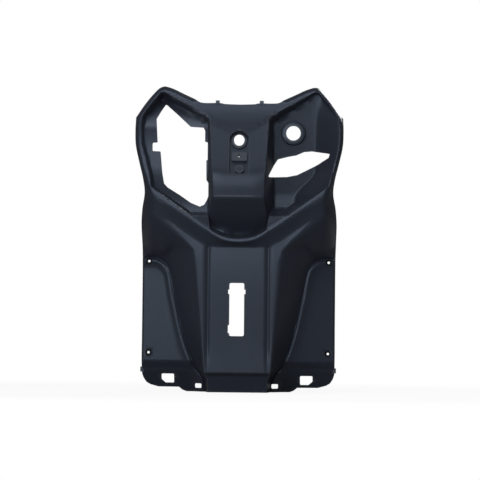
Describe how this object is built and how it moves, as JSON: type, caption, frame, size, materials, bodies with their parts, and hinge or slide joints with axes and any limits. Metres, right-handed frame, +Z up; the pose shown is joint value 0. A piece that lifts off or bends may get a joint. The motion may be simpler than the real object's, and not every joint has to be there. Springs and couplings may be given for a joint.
{
  "type": "scooter inner panel",
  "caption": "Moulded inner leg shield panel of a small scooter, with a steering column cover, two wings, a V ridge, a centre tunnel and flat side pads.",
  "frame": {"origin": "centre of the four side screws, on the plane of their seats", "axes": "+X to the rider's right, +Z up the panel, the rider's side faces -Y"},
  "size_m": [0.416, 0.1707, 0.611],
  "materials": {
    "panel": "satin"
  },
  "bodies": {
    "root": {"inner_panel": "panel"}
  },
  "joints": []
}
